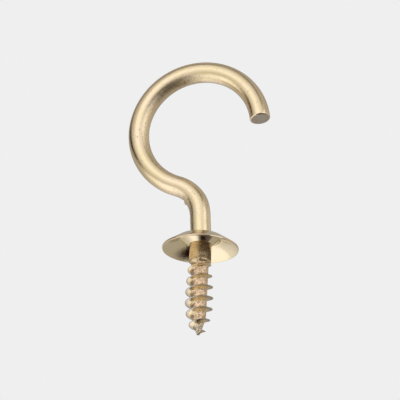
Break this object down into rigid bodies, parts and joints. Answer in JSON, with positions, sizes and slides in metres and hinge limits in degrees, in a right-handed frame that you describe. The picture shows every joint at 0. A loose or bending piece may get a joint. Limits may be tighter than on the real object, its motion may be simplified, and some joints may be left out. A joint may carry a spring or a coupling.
{
  "type": "cup hook",
  "caption": "Screw-in cup hook: a round brass wire bent to an open bow, with a rolled wood-screw thread and a pressed dish flange that covers the hole.",
  "frame": {"origin": "centre of the flange's rim, in the plane where it seats on the wood, on the shank's axis", "axes": "+Z along the shank from the screw's point towards the bow, +X towards the hook's open end, the bow in the XZ plane"},
  "size_m": [0.023, 0.012, 0.0464],
  "materials": {
    "hook": "satin-bright drawn wire, darkened in the hollows, with fine pits",
    "dish_flange": "bright pressed sheet, slightly dulled"
  },
  "bodies": {
    "root": {"hook": "hook", "dish_flange": "dish_flange"}
  },
  "joints": []
}
